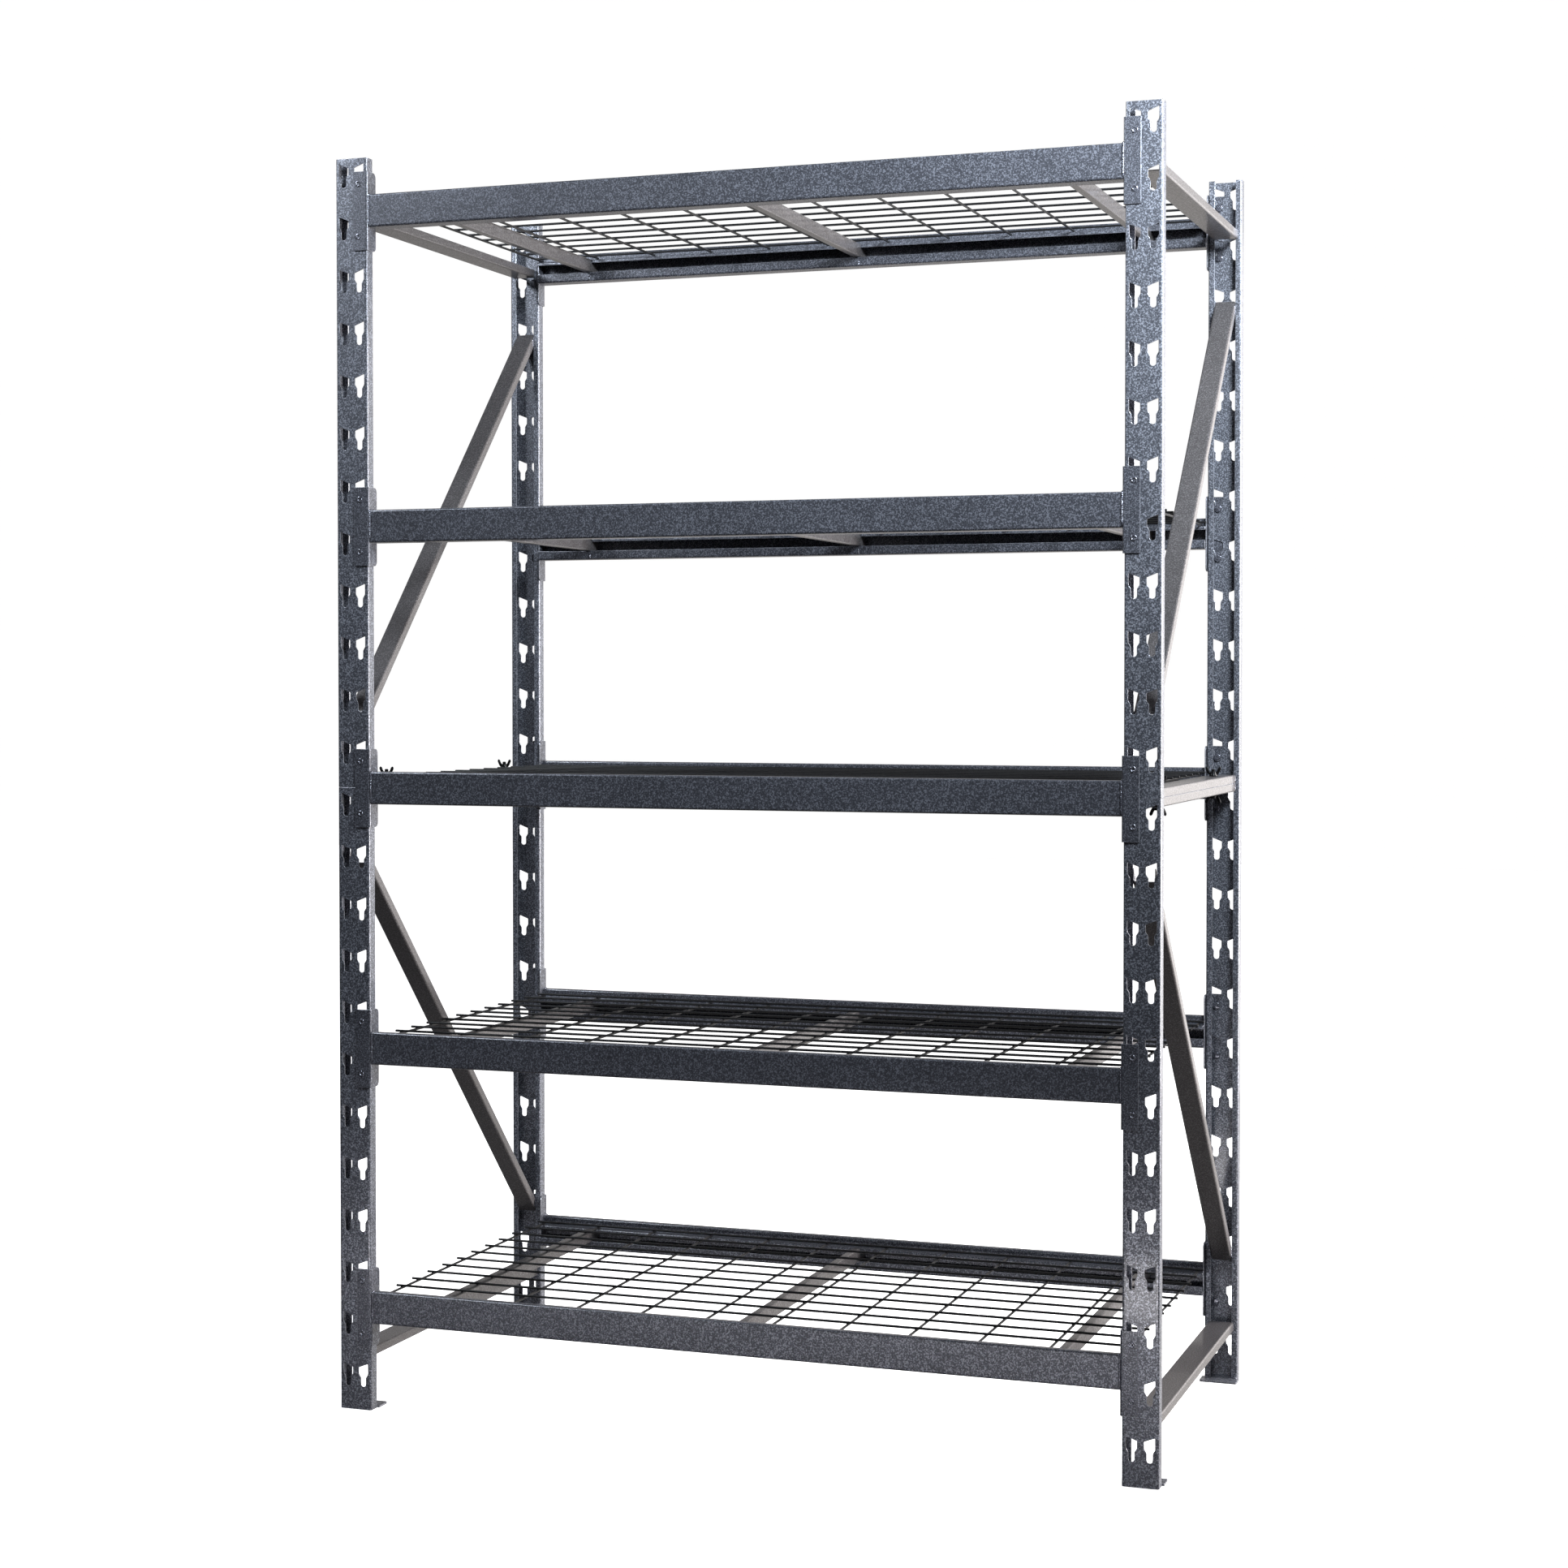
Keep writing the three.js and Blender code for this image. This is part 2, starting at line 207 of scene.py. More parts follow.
def channel(profile, ends, place, holes=()):
    """A bent channel between two ends, its web pierced by the holes."""
    bm = bmesh.new()
    web = widest(profile)
    grid = add_sheet(bm, profile, ends, place, lambda row, column: column != web)
    fill_web(bm, grid, web, holes)
    return bm


def round_corners(bm, corners, radius):
    """Rounds the sheet's outline at the vertices nearest to the corners."""
    chosen = [min(bm.verts, key=lambda v: (v.co - Vector(c)).length) for c in corners]
    bmesh.ops.bevel(
        bm, geom=chosen, offset=radius, segments=5, profile=0.5, affect="VERTICES",
    )


def baked(bm, *modifiers):
    """The mesh that the modifiers make of the bmesh, which is used up."""
    mesh = bpy.data.meshes.new("work")
    bm.to_mesh(mesh)
    bm.free()
    mesh.materials.append(None)
    mesh.materials.append(None)
    work = bpy.data.objects.new("work", mesh)
    bpy.context.scene.collection.objects.link(work)
    for kind, settings in modifiers:
        modifier = work.modifiers.new(kind, kind)
        for name, value in settings.items():
            setattr(modifier, name, value)
    graph = bpy.context.evaluated_depsgraph_get()
    result = bpy.data.meshes.new_from_object(work.evaluated_get(graph))
    bpy.data.objects.remove(work)
    bpy.data.meshes.remove(mesh)
    return result


def edge_rounding(width):
    """Rounded edges, whose faces take the piece's second material."""
    return ("BEVEL", {
        "material": 1,
        "width": width,
        "segments": 2,
        "limit_method": "ANGLE",
        "angle_limit": math.radians(50),
        "use_clamp_overlap": False,
    })


def thickened(bm, thickness, rounding=0.4 * MM):
    """The sheet with its thickness. Its cut edges take the piece's second material."""
    bmesh.ops.recalc_face_normals(bm, faces=bm.faces)
    solidify = ("SOLIDIFY", {
        "thickness": thickness,
        "offset": 0,
        "use_even_offset": True,
        "use_quality_normals": True,
        "material_offset_rim": 1,
    })
    return baked(bm, solidify, edge_rounding(rounding))


# ---- Turned and swept shapes ----

def lathe(profile, sides=28):
    """The (radius, height) profile turned about Z. It starts and ends on the axis."""
    bm = bmesh.new()
    tip = bm.verts.new((0, 0, profile[0][1]))
    rings = [
        [bm.verts.new((p.x, p.y, height)) for p in circle(radius, sides)]
        for radius, height in profile[1:-1]
    ]
    end = bm.verts.new((0, 0, profile[-1][1]))
    for i in range(sides):
        j = (i + 1) % sides
        bm.faces.new((tip, rings[0][j], rings[0][i]))
        bm.faces.new((end, rings[-1][i], rings[-1][j]))
        for lower, upper in zip(rings, rings[1:]):
            bm.faces.new((lower[i], lower[j], upper[j], upper[i]))
    bmesh.ops.recalc_face_normals(bm, faces=bm.faces)
    return baked(bm)


def tube(path, radii, side, sides, flatten=1.0):
    """A tube along the path with a radius at each point, closed at both ends. side is
    square to the path, and flatten is the section's size along it."""
    bm = bmesh.new()
    path = [Vector(p) for p in path]
    side = Vector(side)
    rings = []
    for i, point in enumerate(path):
        along = (path[min(i + 1, len(path) - 1)] - path[max(i - 1, 0)]).normalized()
        across = along.cross(side).normalized()
        rings.append([
            bm.verts.new(point + across * c.x * radii[i] + side * c.y * radii[i] * flatten)
            for c in circle(1, sides)
        ])
    for lower, upper in zip(rings, rings[1:]):
        for i in range(sides):
            j = (i + 1) % sides
            bm.faces.new((lower[i], lower[j], upper[j], upper[i]))
    bm.faces.new(list(reversed(rings[0])))
    bm.faces.new(rings[-1])
    bmesh.ops.recalc_face_normals(bm, faces=bm.faces)
    return baked(bm)


def along_path(points, distance):
    """The point at that distance along the path."""
    for a, b in zip(points, points[1:]):
        step = (b - a).length
        if distance <= step:
            return a.lerp(b, distance / step)
        distance -= step
    return points[-1].copy()


def bead(path, radius, side, seed):
    """A weld bead along the path: a rippled tube that thins out at its ends."""
    points = [Vector(p) for p in path]
    length = sum((b - a).length for a, b in zip(points, points[1:]))
    count = max(8, int(length / BEAD_STEP))
    dice = random.Random(seed)
    swell = dice.random() * math.tau
    route, radii = [], []
    for k in range(count + 1):
        t = k / count
        route.append(along_path(points, t * length))
        end = min(1, 6 * t + 0.35, 6 * (1 - t) + 0.35)
        ripple = 1 + 0.16 * math.sin(swell + k * 1.9) + 0.1 * (dice.random() - 0.5)
        radii.append(radius * end * ripple)
    return tube(route, radii, side, sides=10)


# ---- Materials ----

def node(tree, kind, **settings):
    made = tree.nodes.new(kind)
    for name, value in settings.items():
        setattr(made, name, value)
    return made


def new_material(name):
    material = bpy.data.materials.new(name)
    material.use_nodes = True
    tree = material.node_tree
    return material, tree, tree.nodes["Principled BSDF"]


def ramp(tree, factor, stops):
    made = node(tree, "ShaderNodeValToRGB")
    elements = made.color_ramp.elements
    while len(elements) < len(stops):
        elements.new(0.5)
    for element, (position, colour) in zip(elements, stops):
        element.position = position
        element.color = (*colour, 1)
    tree.links.new(factor, made.inputs["Fac"])
    return made.outputs["Color"]


def noise_texture(tree, scale, detail=2.0, distortion=0.0):
    place = node(tree, "ShaderNodeTexCoord")
    made = node(tree, "ShaderNodeTexNoise")
    made.inputs["Scale"].default_value = scale
    made.inputs["Detail"].default_value = detail
    made.inputs["Distortion"].default_value = distortion
    tree.links.new(place.outputs["Object"], made.inputs["Vector"])
    return made.outputs["Fac"]


def bump(tree, shader, height, strength, distance):
    made = node(tree, "ShaderNodeBump")
    made.inputs["Strength"].default_value = strength
    made.inputs["Distance"].default_value = distance
    tree.links.new(height, made.inputs["Height"])
    tree.links.new(made.outputs["Normal"], shader.inputs["Normal"])


def hammertone(name, dark, middle, light, relief):
    """Hammered paint: winding light grains about 2 mm long on a dark ground."""
    material, tree, shader = new_material(name)
    grain = noise_texture(tree, 540, detail=1.5, distortion=0.3)
    colour = ramp(tree, grain, [(0.38, dark), (0.52, middle), (0.64, light)])
    cloud = noise_texture(tree, 9, detail=3)
    tint = ramp(tree, cloud, [(0.3, (0.86, 0.86, 0.86)), (0.7, (1.0, 1.0, 1.0))])
    mix = node(tree, "ShaderNodeMixRGB", blend_type="MULTIPLY")
    mix.inputs["Fac"].default_value = 1
    tree.links.new(colour, mix.inputs["Color1"])
    tree.links.new(tint, mix.inputs["Color2"])
    tree.links.new(mix.outputs["Color"], shader.inputs["Base Color"])
    rough = ramp(tree, grain, [(0.3, (0.45, 0.45, 0.45)), (0.7, (0.28, 0.28, 0.28))])
    tree.links.new(rough, shader.inputs["Roughness"])
    shader.inputs["Metallic"].default_value = 0.4
    shader.inputs["Coat Weight"].default_value = 0.4
    shader.inputs["Coat Roughness"].default_value = 0.1
    bump(tree, shader, grain, relief, 0.3 * MM)
    return material


def edge_paint_with_painted_highlight():
    """Paint drawn thin over the cut edges of the sheet, lighter than on the flats: partly thin
    paint, partly a painted highlight along the edges.
    """
    material, tree, shader = new_material("edge_paint_with_painted_highlight")
    grain = noise_texture(tree, 500, detail=2)
    colour = ramp(tree, grain, [(0.35, (0.16, 0.165, 0.19)), (0.65, (0.42, 0.43, 0.48))])
    tree.links.new(colour, shader.inputs["Base Color"])
    shader.inputs["Metallic"].default_value = 0.6
    shader.inputs["Roughness"].default_value = 0.28
    bump(tree, shader, grain, 0.2, 0.2 * MM)
    return material


def weld_paint():
    """Paint pooled over a weld bead, smoother and shinier than on the sheet."""
    material, tree, shader = new_material("weld_paint")
    grain = noise_texture(tree, 700, detail=2)
    colour = ramp(tree, grain, [(0.4, (0.07, 0.072, 0.09)), (0.65, (0.25, 0.26, 0.31))])
    tree.links.new(colour, shader.inputs["Base Color"])
    shader.inputs["Metallic"].default_value = 0.7
    shader.inputs["Roughness"].default_value = 0.22
    shader.inputs["Coat Weight"].default_value = 0.6
    bump(tree, shader, grain, 0.4, 0.3 * MM)
    return material


def black_coat(name, roughness, metallic):
    """Black coating with a fine orange peel."""
    material, tree, shader = new_material(name)
    grain = noise_texture(tree, 500, detail=2)
    colour = ramp(tree, grain, [(0.3, (0.004, 0.004, 0.005)), (0.7, (0.012, 0.012, 0.013))])
    tree.links.new(colour, shader.inputs["Base Color"])
    shader.inputs["Roughness"].default_value = roughness
    shader.inputs["Metallic"].default_value = metallic
    shader.inputs["Specular IOR Level"].default_value = 0.3
    bump(tree, shader, grain, 0.25, 0.15 * MM)
    return material


POST_PAINT = hammertone(
    "post_paint", (0.058, 0.061, 0.075), (0.105, 0.112, 0.134), (0.3, 0.315, 0.37), 0.34,
)
BEAM_PAINT = hammertone(
    "beam_paint", (0.045, 0.047, 0.058), (0.078, 0.082, 0.1), (0.2, 0.21, 0.25), 0.26,
)
# The braces and crossbars get a darker, browner copy of the frame paint: painted shade for the
# dimmer light that falls on them.
SHADED_BRACE_PAINT = hammertone(
    "brace_paint_with_painted_shade", (0.072, 0.067, 0.068), (0.095, 0.089, 0.092), (0.17, 0.16, 0.166), 0.14,
)
# Lighter paint on the cut and rounded edges: partly thin paint, partly a painted highlight.
EDGE_HIGHLIGHT = edge_paint_with_painted_highlight()
WELD = weld_paint()
WIRE_BLACK = black_coat("wire_coating", 0.4, 0.0)
ZINC_BLACK = black_coat("black_zinc", 0.28, 0.6)


# ---- Pieces ----

def add_piece(name, parts):
    """One piece that stands for the CAD node of that name. parts are (mesh, matrix,
    material), and a matrix that mirrors keeps the faces out. Sheet has a second
    material, on its cut edges."""
    bm = bmesh.new()
    # Cut and rounded edges take the lighter edge paint, which is partly a painted highlight.
    materials = [EDGE_HIGHLIGHT]
    for mesh, place, material in parts:
        if material not in materials:
            materials.append(material)
        copy = mesh.copy()
        copy.transform(place)
        if place.determinant() < 0:
            copy.flip_normals()
        start = len(bm.faces)
        bm.from_mesh(copy)
        bpy.data.meshes.remove(copy)
        bm.faces.ensure_lookup_table()
        for face in bm.faces[start:]:
            if face.material_index == 0:
                face.material_index = materials.index(material)
            else:
                face.material_index = 0
            face.smooth = True
    mesh = bpy.data.meshes.new(f"{name}_finish")
    bm.to_mesh(mesh)
    bm.free()
    for material in materials:
        mesh.materials.append(material)
    piece = bpy.data.objects.new(f"{name}_finish", mesh)
    bpy.context.scene.collection.objects.link(piece)
    normals = piece.modifiers.new("flat_faces", "WEIGHTED_NORMAL")
    normals.mode = "FACE_AREA"
    normals.weight = 70
    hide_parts(name)
    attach(piece, BODY_OF[name])


def middle(low, high):
    return (low + high) / 2


def moved(x, y, z, turn=0.0):
    return Matrix.Translation((x, y, z)) @ Matrix.Rotation(turn, 4, "Z")


MIRROR_X = Matrix.Scale(-1, 4, (1, 0, 0))
MIRROR_Z = Matrix.Scale(-1, 4, (0, 0, 1))


# ---- Posts ----

def post_sheet(height):
    """Half a post, its outer face on y = 0, its open side towards +Y."""
    half = POST_WIDTH / 2 - SHEET / 2
    lip = POST_WIDTH / 2 - POST_LIP
    front, back = SHEET / 2, POST_DEPTH - SHEET / 2
    profile = rounded([
        (-lip, back), (-half, back), (-half, front),
        (half, front), (half, back), (lip, back),
    ], BEND)
    holes = []
    for row in range(SLOT_ROWS):
        z = SLOT_PITCH * (row + 0.5)
        for outward in (-1, 1):
            x = outward * SLOT_COLUMN
            holes.append([(x + p.x, front, z + p.y) for p in keyhole(outward)])
    bm = channel(profile, (0, height), lambda p, z: (p.x, p.y, z), holes)
    return thickened(bm, SHEET)


def foot_plate(width, reach):
    """The plate under a post, which is wider beyond the lips."""
    inside = POST_WIDTH / 2 - SHEET
    half = width / 2
    outline = rounded([
        (-inside, SHEET), (inside, SHEET), (inside, POST_DEPTH), (half, POST_DEPTH),
        (half, reach), (-half, reach), (-half, POST_DEPTH), (-inside, POST_DEPTH),
    ], [0, 0, 0, 1 * MM, 3 * MM, 3 * MM, 1 * MM, 0], closed=True)
    bm = bmesh.new()
    bm.faces.new([bm.verts.new((p.x, p.y, FOOT_HEIGHT / 2)) for p in outline])
    return thickened(bm, FOOT_HEIGHT, 0.5 * MM)


def foot_welds():
    """Two short beads that hold the post's lips to the plate."""
    y = POST_DEPTH + 0.4 * MM
    z = FOOT_HEIGHT + 0.3 * MM
    inner, outer = 17.5 * MM, 24.5 * MM
    beads = []
    for side in (-1, 1):
        path = [(side * inner, y, z), (side * outer, y, z)]
        beads.append(bead(path, 1.6 * MM, (0, 1, 0), seed=side + 5))
    return beads


def add_posts():
    shell = {}
    welds = foot_welds()
    for half in ("lower", "upper"):
        for end in ("front", "rear"):
            for side in ("left", "right"):
                name = f"{half}_post_{end}_{side}"
                low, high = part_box(name)
                height = high.z - low.z
                if half not in shell:
                    shell[half] = post_sheet(height)
                outer = low.y if end == "front" else high.y
                turn = 0 if end == "front" else math.pi
                place = moved(middle(low.x, high.x), outer, low.z, turn)
                parts = [(shell[half], place, POST_PAINT)]
                if half == "lower":
                    plate = foot_plate(high.x - low.x, high.y - low.y)
                    parts.append((plate, place, POST_PAINT))
                    parts += [(weld, place, WELD) for weld in welds]
                add_piece(name, parts)


# ---- Braces ----

def brace_profile(width, height):
    half = width / 2 - SHEET / 2
    corners = [(-half, height), (-half, SHEET / 2), (half, SHEET / 2), (half, height)]
    return rounded(corners, BEND)


def level_brace(length, bolted):
    """A level channel along Y, its closed face at z = 0."""
    holes = []
    if bolted:
        for y in (-WING_BOLT_Y, WING_BOLT_Y):
            holes.append([(p.x, y + p.y, SHEET / 2) for p in circle(BOLT_HOLE)])
    profile = brace_profile(BRACE_WIDTH, BRACE_HEIGHT)
    bm = channel(profile, (-length / 2, length / 2), lambda p, y: (p.x, y, p.y), holes)
    return thickened(bm, SHEET)


def diagonal_brace(width, length, rise):
    """A channel that climbs by rise over length, its closed face up and its ends cut
    upright."""
    stretch = math.hypot(rise, length) / length
    bm = bmesh.new()
    add_sheet(
        bm, brace_profile(width, DIAGONAL_DROP / stretch), (-length / 2, length / 2),
        lambda p, y: (p.x, y, rise * y / length - p.y * stretch),
    )
    return thickened(bm, SHEET)


def level_brace_welds(length):
    """Short beads down both sides of a level brace, against the posts' lips."""
    beads = []
    for end in (-1, 1):
        for side in (-1, 1):
            x = side * (BRACE_WIDTH / 2 - 1.2 * MM)
            y = end * (length / 2 - 0.9 * MM)
            path = [(x, y, 2.5 * MM), (x, y, BRACE_HEIGHT - 2 * MM)]
            beads.append(bead(path, 1.5 * MM, (1, 0, 0), seed=end * 2 + side))
    return beads


def diagonal_welds(width, length, rise):
    """Beads down both sides of a diagonal, where it goes in between the lips."""
    beads = []
    for end in (-1, 1):
        for side in (-1, 1):
            x = side * (width / 2 - 0.9 * MM)
            y = end * (length / 2 - 5 * MM)
            top = rise * y / length
            path = [(x, y, top - 2 * MM), (x, y, top - DIAGONAL_DROP + 3 * MM)]
            beads.append(bead(path, 1.7 * MM, (1, 0, 0), seed=end * 2 + side))
    return beads


def add_level_braces():
    turned_up = ("upper_middle_brace", "bottom_brace")
    for kind in ("top_brace", "upper_middle_brace", "lower_middle_brace", "bottom_brace"):
        bolted = "middle" in kind
        for side in ("left", "right"):
            name = f"{kind}_{side}"
            low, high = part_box(name)
            length = high.y - low.y
            place = moved(middle(low.x, high.x), 0, low.z)
            if kind in turned_up:
                place = moved(middle(low.x, high.x), 0, high.z) @ MIRROR_Z
            parts = [(level_brace(length, bolted), place, SHADED_BRACE_PAINT)]
            parts += [(weld, place, WELD) for weld in level_brace_welds(length)]
            add_piece(name, parts)


def add_diagonals():
    for half in ("upper", "lower"):
        for side in ("left", "right"):
            name = f"{half}_diagonal_{side}"
            low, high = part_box(name)
            width, length = high.x - low.x, high.y - low.y
            rise = high.z - low.z - DIAGONAL_DROP
            x, z = middle(low.x, high.x), middle(low.z, high.z)
            place = moved(x, 0, z + DIAGONAL_DROP / 2)
            if half == "lower":
                place = moved(x, 0, z - DIAGONAL_DROP / 2) @ MIRROR_Z
            parts = [(diagonal_brace(width, length, rise), place, SHADED_BRACE_PAINT)]
            parts += [(weld, place, WELD) for weld in diagonal_welds(width, length, rise)]
            add_piece(name, parts)


# ---- Beams ----

def beam_sheet(half_length):
    """The beam's bent sheet along X, its outer face on y = 0 and its top on z = 0."""
    skin = SHEET / 2
    inner = BEAM_DEPTH - skin
    riser = BEAM_TOP - skin
    slot_top, slot_bottom = BEAM_SLOT
    profile = rounded([
        (inner, -slot_bottom),
        (inner, skin - BEAM_HEIGHT),
        (skin, skin - BEAM_HEIGHT),
        (skin, -skin),
        (riser, -skin),
        (riser, -BEAM_STEP - skin),
        (inner, -BEAM_STEP - skin),
        (inner, -slot_top),
    ], [0, BEND, BEND, BEND, BEND, 1.6 * MM, BEND, 0])
    bm = bmesh.new()
    add_sheet(bm, profile, (-half_length, half_length), lambda p, x: (x, p.x, p.y))
    return thickened(bm, SHEET)


def bracket_sheet(inner_x):
    """The bracket at the right end of a front beam, around the beam's own origin."""
    skin = BRACKET_SHEET / 2
    top = RIVET_DROP + BRACKET_ABOVE
    bottom = RIVET_DROP - SLOT_PITCH - BRACKET_BELOW
    face_y = -POST_GAP - skin
    side_x = inner_x + skin
    side_end = -POST_GAP - BRACKET_SHEET + BRACKET_SIDE
    face_end = inner_x + BRACKET_FACE
    profile = rounded([(side_x, side_end), (side_x, face_y), (face_end, face_y)], 2.4 * MM)
    bm = bmesh.new()
    add_sheet(bm, profile, (bottom, top), lambda p, z: (p.x, p.y, z))
    round_corners(bm, [(side_x, side_end, top), (side_x, side_end, bottom)], 7 * MM)
    round_corners(bm, [(face_end, face_y, top), (face_end, face_y, bottom)], 1.2 * MM)
    return thickened(bm, BRACKET_SHEET, 0.35 * MM)


def rivet():
    """A rivet along Z: its dimpled head up, and the tail that hooks behind the post."""
    plate = -POST_GAP - SHEET
    profile = [
        (0, -0.6), (1.1, -0.5), (1.7, 0.1), (2.2, 0.85), (2.9, 1.15), (3.6, 1.05),
        (4.2, 0.75), (4.55, 0.3), (4.6, -0.2), (3.8, -0.4),
    ]
    profile = [(r * MM, (h + BRACKET_SHEET / MM) * MM) for r, h in profile]
    profile += [
        (3.8 * MM, plate), (5.2 * MM, plate), (5.7 * MM, plate - 0.5 * MM),
        (5.7 * MM, plate - 1.8 * MM), (5.0 * MM, plate - 2.4 * MM), (0, plate - 2.5 * MM),
    ]
    return lathe(profile)


def bracket_weld(inner_x):
    """The bead down the corner between the beam's face and the bracket, which turns
    over the beam's top."""
    x = inner_x - 0.5 * MM
    return bead([
        (x, -0.3 * MM, -45 * MM),
        (x, -0.3 * MM, -2.2 * MM),
        (x, 0.6 * MM, -0.6 * MM),
        (x, 2.2 * MM, 0.1 * MM),
        (x, 9 * MM, 0.1 * MM),
    ], 1.5 * MM, (1, 0, 0), seed=3)


def lip_marks(xs):
    """Small raised marks where the crossbars meet the inside of the beam."""
    beads = []
    y = BEAM_DEPTH + 0.1 * MM
    for x in xs:
        upright = [(x, y, -38 * MM), (x, y, -46 * MM)]
        beads.append(bead(upright, 1.3 * MM, (1, 0, 0), seed=7))
        dot = [(x - 1.5 * MM, y, -13.5 * MM), (x + 1.5 * MM, y, -13.5 * MM)]
        beads.append(bead(dot, 1.2 * MM, (0, 1, 0), seed=9))
    return beads


def add_beams():
    crossbars = [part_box(f"shelf_1_crossbar_{k}") for k in ("left", "centre", "right")]
    crossbar_x = [middle(low.x, high.x) for low, high in crossbars]
    low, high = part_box("shelf_1_front_beam")
    inner_x = high.x - BRACKET_FACE
    rivet_x = middle(*(v.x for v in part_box("lower_post_front_right"))) - SLOT_COLUMN

    sheet = beam_sheet(inner_x + 0.5 * MM)
    corner = [(bracket_sheet(inner_x), Matrix.Identity(4), BEAM_PAINT)]
    pin = rivet()
    turn = Matrix.Rotation(math.pi / 2, 4, "X")
    for z in (RIVET_DROP, RIVET_DROP - SLOT_PITCH):
        place = Matrix.Translation((rivet_x, -POST_GAP, z)) @ turn
        corner.append((pin, place, WELD))
    corner.append((bracket_weld(inner_x), Matrix.Identity(4), WELD))

    for shelf in range(1, 6):
        for end in ("front", "rear"):
            name = f"shelf_{shelf}_{end}_beam"
            low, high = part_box(name)
            top = high.z - BRACKET_ABOVE - RIVET_DROP
            sign = -1 if end == "front" else 1
            face = sign * (min(abs(low.y), abs(high.y)) + BEAM_DEPTH)
            place = moved(0, face, top, 0 if end == "front" else math.pi)
            parts = [(sheet, place, BEAM_PAINT)]
            parts += [(mesh, place @ own, material) for mesh, own, material in corner]
            parts += [
                (mesh, place @ MIRROR_X @ own, material) for mesh, own, material in corner
            ]
            marks = [-sign * (x + LIP_MARK_OFFSET) for x in crossbar_x]
            parts += [(mark, place, WELD) for mark in lip_marks(marks)]
            add_piece(name, parts)


# ---- Crossbars ----

def crossbar_sheet(half_length):
    """A lipped channel along Y, open towards -X, its top on z = 0."""
    skin = CROSSBAR_SHEET / 2
    half = CROSSBAR_WIDTH / 2 - skin
    bottom = skin - CROSSBAR_HEIGHT
    profile = rounded([
        (-half, -CROSSBAR_LIP),
        (-half, -skin),
        (half, -skin),
        (half, -TONGUE_DROP),
        (half, bottom),
        (-half, bottom),
        (-half, bottom + CROSSBAR_LIP),
    ], [0, 1.4 * MM, 1.4 * MM, 0, 1.4 * MM, 1.4 * MM, 0])
    corner = Vector((half, -TONGUE_DROP))
    notch = min(range(len(profile)), key=lambda i: (profile[i] - corner).length)
    body = half_length - TONGUE
    bm = bmesh.new()
    add_sheet(
        bm, profile, (-half_length, -body, body, half_length),
        lambda p, y: (p.x, y, p.y),
        lambda row, column: row == 1 or column >= notch,
    )
    loose = [v for v in bm.verts if not v.link_faces]
    bmesh.ops.delete(bm, geom=loose, context="VERTS")
    return thickened(bm, CROSSBAR_SHEET, 0.25 * MM)


def add_crossbars():
    low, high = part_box("shelf_1_crossbar_centre")
    sheet = crossbar_sheet(high.y)
    for shelf in range(1, 6):
        for side in ("left", "centre", "right"):
            name = f"shelf_{shelf}_crossbar_{side}"
            low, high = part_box(name)
            place = moved(middle(low.x, high.x), 0, high.z)
            add_piece(name, [(sheet, place, SHADED_BRACE_PAINT)])


# ---- Decks ----

def wire(length):
    """A round wire along X, its ends rounded off."""
    half = length / 2
    path, radii = [], []
    for inset, size in ((0, 0.55), (0.35, 0.85), (0.9, 1.0)):
        path.append((inset * MM - half, 0, 0))
        radii.append(WIRE * size)
    path += [(-x, y, z) for x, y, z in reversed(path)]
    radii += list(reversed(radii))
    return tube(path, radii, (0, 0, 1), sides=16)


def weld_lens():
    """The squeezed metal where two wires are welded across each other."""
    profile = [(0, 0.9), (1.0, 0.75), (1.7, 0.4), (2.0, 0), (1.7, -0.4), (1.0, -0.75), (0, -0.9)]
    return lathe([(r * MM, h * MM) for r, h in profile], sides=12)


def spread(count, pitch):
    return [(i - (count - 1) / 2) * pitch for i in range(count)]


def add_decks():
    low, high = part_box("shelf_1_wire_deck")
    long_wire = wire(high.x - low.x)
    cross_wire = wire(high.y - low.y)
    lens = weld_lens()
    for shelf in range(1, 6):
        name = f"shelf_{shelf}_wire_deck"
        low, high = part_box(name)
        parts = []
        for y in spread(LONG_WIRES, LONG_PITCH):
            parts.append((long_wire, moved(0, y, high.z - WIRE), WIRE_BLACK))
        for x in spread(CROSS_WIRES, CROSS_PITCH):
            parts.append((cross_wire, moved(x, 0, low.z + WIRE, math.pi / 2), WIRE_BLACK))
            for y in spread(LONG_WIRES, LONG_PITCH):
                parts.append((lens, moved(x, y, middle(low.z, high.z)), WIRE_BLACK))
        add_piece(name, parts)


# ---- Wing nuts and bolts ----

def wing_ears():
    """Two ears that lean outwards from the hub, above z = 0."""
    ears = []
    for side in (-1, 1):
        path = [
            (4.0, 3.2), (5.6, 4.4), (7.2, 6.6), (8.6, 9.4),
            (9.5, 11.6), (10.1, 13.3), (10.4, 14.2),
        ]
        radii = [2.2, 2.5, 2.4, 2.3, 2.4, 1.8, 0.6]
        route = [(side * x * MM, 0, z * MM) for x, z in path]
        ears.append(tube(route, [r * MM for r in radii], (0, 1, 0), sides=16, flatten=0.55))
    return ears


def hub():
    """The round middle of a wing nut or a wing bolt, on z = 0."""
    profile = [
        (0, 0), (5.6, 0), (6.0, 0.4), (6.0, 1.6), (5.2, 3.0), (4.8, 6.4), (4.4, 7.0), (0, 7.0),
    ]
    return lathe([(r * MM, h * MM) for r, h in profile])


def threaded_shank(length):
    """A shank up from z = 0, with the crests and roots of its thread."""
    pitch, crest, root = 1.25 * MM, 3.0 * MM, 2.6 * MM
    profile = [(0, 0), (root, 0)]
    z = 0.4 * pitch
    while z < length - pitch:
        profile += [(crest, z), (root, z + pitch / 2)]
        z += pitch
    profile += [(0.7 * root, length), (0, length)]
    return lathe(profile, sides=20)


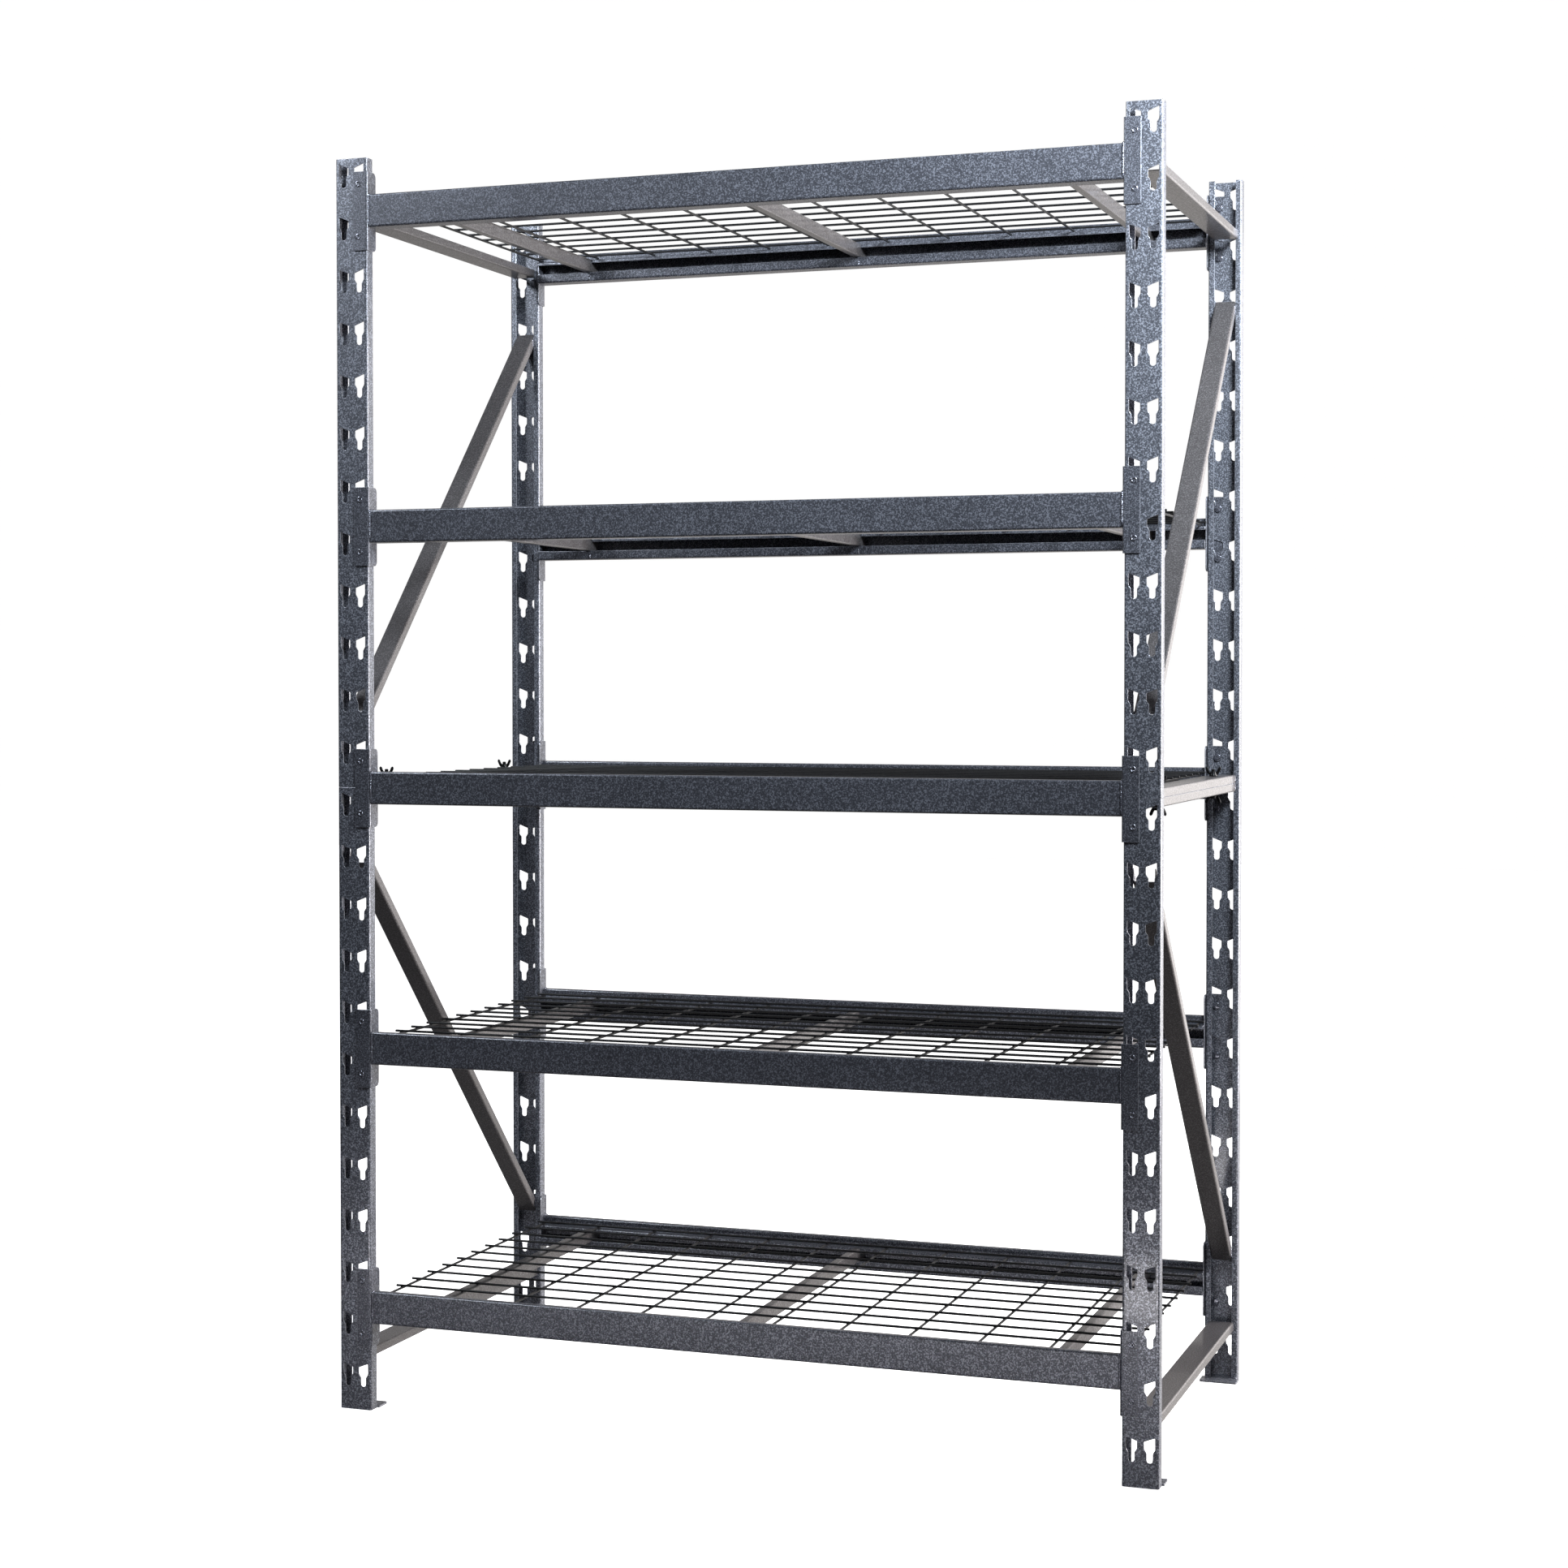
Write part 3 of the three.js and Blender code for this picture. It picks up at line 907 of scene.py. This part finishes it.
def add_wing_fasteners():
    ears, body = wing_ears(), hub()
    for end in ("front", "rear"):
        for side in ("left", "right"):
            name = f"wing_nut_{end}_{side}"
            low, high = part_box(name)
            place = moved(middle(low.x, high.x), middle(low.y, high.y), low.z)
            parts = [(mesh, place, ZINC_BLACK) for mesh in (*ears, body)]
            add_piece(name, parts)

            name = f"wing_bolt_{end}_{side}"
            low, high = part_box(name)
            head = low.z + WING_HEAD
            place = moved(middle(low.x, high.x), middle(low.y, high.y), head)
            parts = [(mesh, place @ MIRROR_Z, ZINC_BLACK) for mesh in (*ears, body)]
            parts.append((threaded_shank(high.z - head), place, ZINC_BLACK))
            add_piece(name, parts)


# ---- Studio ----

FLOOR_SIZE = 12
BACKDROP_RADIUS = 30


def add_floor():
    """A pale floor that glows enough to stay white, and doesn't light the piece."""
    bm = bmesh.new()
    bmesh.ops.create_grid(bm, x_segments=1, y_segments=1, size=FLOOR_SIZE)
    mesh = bpy.data.meshes.new("floor")
    bm.to_mesh(mesh)
    bm.free()
    floor = bpy.data.objects.new("floor", mesh)
    floor.location.z = cad_low.z
    bpy.context.scene.collection.objects.link(floor)
    material, tree, shader = new_material("pale_floor")
    tone = ramp(tree, noise_texture(tree, 3), [(0.3, (0.86,) * 3), (0.7, (0.88,) * 3)])
    tree.links.new(tone, shader.inputs["Base Color"])
    shader.inputs["Roughness"].default_value = 0.7
    shader.inputs["Emission Color"].default_value = (1, 1, 1, 1)
    shader.inputs["Emission Strength"].default_value = 0.95
    mesh.materials.append(material)
    floor.visible_diffuse = False
    floor.visible_glossy = False


def add_backdrop():
    """A white dome far outside, seen by the camera only."""
    bm = bmesh.new()
    bmesh.ops.create_uvsphere(bm, u_segments=48, v_segments=24, radius=BACKDROP_RADIUS)
    mesh = bpy.data.meshes.new("backdrop")
    bm.to_mesh(mesh)
    bm.free()
    dome = bpy.data.objects.new("backdrop", mesh)
    bpy.context.scene.collection.objects.link(dome)
    material, _, shader = new_material("backdrop_white")
    shader.inputs["Base Color"].default_value = (0, 0, 0, 1)
    shader.inputs["Emission Color"].default_value = (1, 1, 1, 1)
    shader.inputs["Emission Strength"].default_value = 1
    mesh.materials.append(material)
    dome.visible_diffuse = False
    dome.visible_glossy = False
    dome.visible_transmission = False
    dome.visible_shadow = False


def add_world():
    """Light that comes from the right and behind, and falls off to the front left."""
    world = bpy.data.worlds.new("studio")
    world.use_nodes = True
    tree = world.node_tree
    place = node(tree, "ShaderNodeTexCoord")
    facing = node(tree, "ShaderNodeVectorMath", operation="DOT_PRODUCT")
    facing.inputs[1].default_value = Vector((0.62, 0.75, -0.2)).normalized()
    tree.links.new(place.outputs["Generated"], facing.inputs[0])
    spread_out = node(tree, "ShaderNodeMapRange")
    spread_out.inputs["From Min"].default_value = -1
    tree.links.new(facing.outputs["Value"], spread_out.inputs["Value"])
    colour = ramp(tree, spread_out.outputs["Result"], [
        (0.1, (0.045, 0.045, 0.05)),
        (0.45, (0.17, 0.17, 0.18)),
        (0.7, (0.5, 0.48, 0.47)),
        (1.0, (1.0, 0.97, 0.93)),
    ])
    background = tree.nodes["Background"]
    tree.links.new(colour, background.inputs["Color"])
    background.inputs["Strength"].default_value = 0.8
    bpy.context.scene.world = world


def add_softbox(name, at, aim, size, power, colour=(1, 1, 1), spread_angle=180):
    """A rectangle of light at one point that faces another. Its angle is in degrees."""
    data = bpy.data.lights.new(name, "AREA")
    data.spread = math.radians(spread_angle)
    data.shape = "RECTANGLE"
    data.size, data.size_y = size
    data.energy = power
    data.color = colour
    light = bpy.data.objects.new(name, data)
    light.location = at
    light.rotation_euler = (Vector(aim) - Vector(at)).to_track_quat("-Z", "Y").to_euler()
    light.visible_camera = False
    bpy.context.scene.collection.objects.link(light)


def add_lights():
    cool, warm, rosy = (0.86, 0.94, 1), (1, 0.96, 0.94), (1, 0.97, 0.98)
    top_right = (0.5, 0, cad_high.z)
    add_softbox("key", (1.5, -1.25, 2.4), top_right, (0.6, 0.6), 32, cool, 80)
    add_softbox("top_left", (-1.6, -1.3, 2.5), (-0.6, 0, 1.7), (0.5, 0.5), 33, (0.88, 0.94, 1))
    add_softbox("right_card", (3, 0.9, 1.2), (0.5, 0, 1.2), (1.1, 2.1), 290, warm)
    add_softbox("right_strip", (2.6, -0.9, 1.3), (0.6, -0.3, 1.3), (0.08, 1.6), 6)
    add_softbox("back_card", (1.6, 3, 1.1), (0.6, -0.3, 1.1), (1.2, 2.2), 9, (1, 0.97, 0.95))
    add_softbox("low_fill", (0.2, -1.2, 0.05), (0.2, 0, 0.15), (2.4, 0.1), 1.2, rosy, 60)


def add_camera():
    data = bpy.data.cameras.new("camera")
    data.sensor_width = 36
    data.lens = 61.32
    data.shift_x = -0.0069
    data.shift_y = -0.022
    data.clip_end = 100
    camera = bpy.data.objects.new("camera", data)
    camera.location = (1.316, -3.7717, 1.0631)
    camera.rotation_euler = (math.radians(90 - 1.372), 0, math.radians(19.339))
    bpy.context.scene.collection.objects.link(camera)
    bpy.context.scene.camera = camera


add_camera()
add_posts()
add_level_braces()
add_diagonals()
add_beams()
add_crossbars()
add_decks()
add_wing_fasteners()
add_floor()
add_backdrop()
add_world()
add_lights()
bpy.context.scene.view_settings.view_transform = "Standard"
